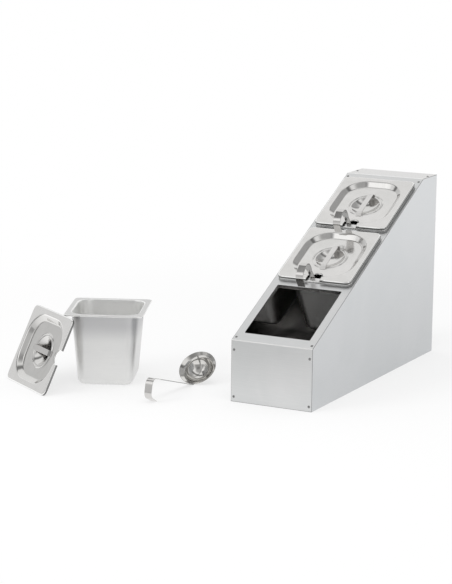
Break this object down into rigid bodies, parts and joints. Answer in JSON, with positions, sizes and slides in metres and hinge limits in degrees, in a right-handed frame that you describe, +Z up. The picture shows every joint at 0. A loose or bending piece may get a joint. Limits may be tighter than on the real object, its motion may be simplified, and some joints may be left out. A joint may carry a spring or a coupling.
{
  "type": "condiment caddy",
  "caption": "Sloped stainless steel condiment caddy with hung pans under notched lids that tip up, hook-handled ladles through the notches, and a loose pan, lid and ladle beside it",
  "frame": {"origin": "centre of the rectangle on which the housing stands", "axes": "+X to the right of someone facing the low front, +Y from the low front to the high back, +Z up"},
  "size_m": [0.6619, 0.7691, 0.3906],
  "materials": {
    "housing_steel": "fine vertical brushing, satin",
    "rivet_steel": "smooth satin dome",
    "pan_steel": "satin drawn sheet",
    "lid_steel": "satin flats with a polished step",
    "grip_steel": "polished strip",
    "ladle_steel": "mirror polished"
  },
  "bodies": {
    "housing": {"top_skin": "housing_steel", "left_side": "housing_steel", "right_side": "housing_steel", "back_panel": "housing_steel", "base_plate": "housing_steel", "front_rivets": "rivet_steel", "slope_rivets": "rivet_steel", "top_rivets": "rivet_steel", "back_rivets": "rivet_steel"},
    "middle_pan_body": {"middle_pan": "pan_steel"},
    "middle_lid_body": {"middle_lid": "lid_steel", "middle_grip": "grip_steel"},
    "middle_ladle_body": {"middle_bowl": "ladle_steel", "middle_stem": "ladle_steel"},
    "rear_pan_body": {"rear_pan": "pan_steel"},
    "rear_lid_body": {"rear_lid": "lid_steel", "rear_grip": "grip_steel"},
    "rear_ladle_body": {"rear_bowl": "ladle_steel", "rear_stem": "ladle_steel"},
    "loose_pan_body": {"loose_pan": "pan_steel"},
    "loose_lid_body": {"loose_lid": "lid_steel", "loose_grip": "grip_steel"},
    "loose_ladle_body": {"loose_bowl": "ladle_steel", "loose_stem": "ladle_steel"}
  },
  "joints": [
    {"name": "middle_pan_lift", "type": "slide", "parent": "housing", "child": "middle_pan_body", "axis": [0, -0.4392, 0.8984], "range_m": [0, 0.004]},
    {"name": "middle_lid_tip", "type": "hinge", "parent": "middle_pan_body", "child": "middle_lid_body", "pos_m": [0, 0.03405, 0.29623], "axis": [-1, 0, 0], "range_deg": [0, 20]},
    {"name": "middle_ladle_lift", "type": "slide", "parent": "middle_pan_body", "child": "middle_ladle_body", "axis": [0, -0.6966, 0.7175], "range_m": [0, 0.08]},
    {"name": "rear_pan_lift", "type": "slide", "parent": "housing", "child": "rear_pan_body", "axis": [0, -0.4392, 0.8984], "range_m": [0, 0.16]},
    {"name": "rear_lid_tip", "type": "hinge", "parent": "rear_pan_body", "child": "rear_lid_body", "pos_m": [0, 0.20744, 0.381], "axis": [-1, 0, 0], "range_deg": [0, 75]},
    {"name": "rear_ladle_lift", "type": "slide", "parent": "rear_pan_body", "child": "rear_ladle_body", "axis": [0, -0.6966, 0.7175], "range_m": [0, 0.08]},
    {"name": "loose_pan_lift", "type": "slide", "parent": "housing", "child": "loose_pan_body", "axis": [0, 0, 1], "range_m": [0, 0.16]},
    {"name": "loose_lid_lift", "type": "slide", "parent": "housing", "child": "loose_lid_body", "axis": [0, 0, 1], "range_m": [0, 0.12]},
    {"name": "loose_ladle_lift", "type": "slide", "parent": "housing", "child": "loose_ladle_body", "axis": [0, 0, 1], "range_m": [0, 0.12]}
  ]
}
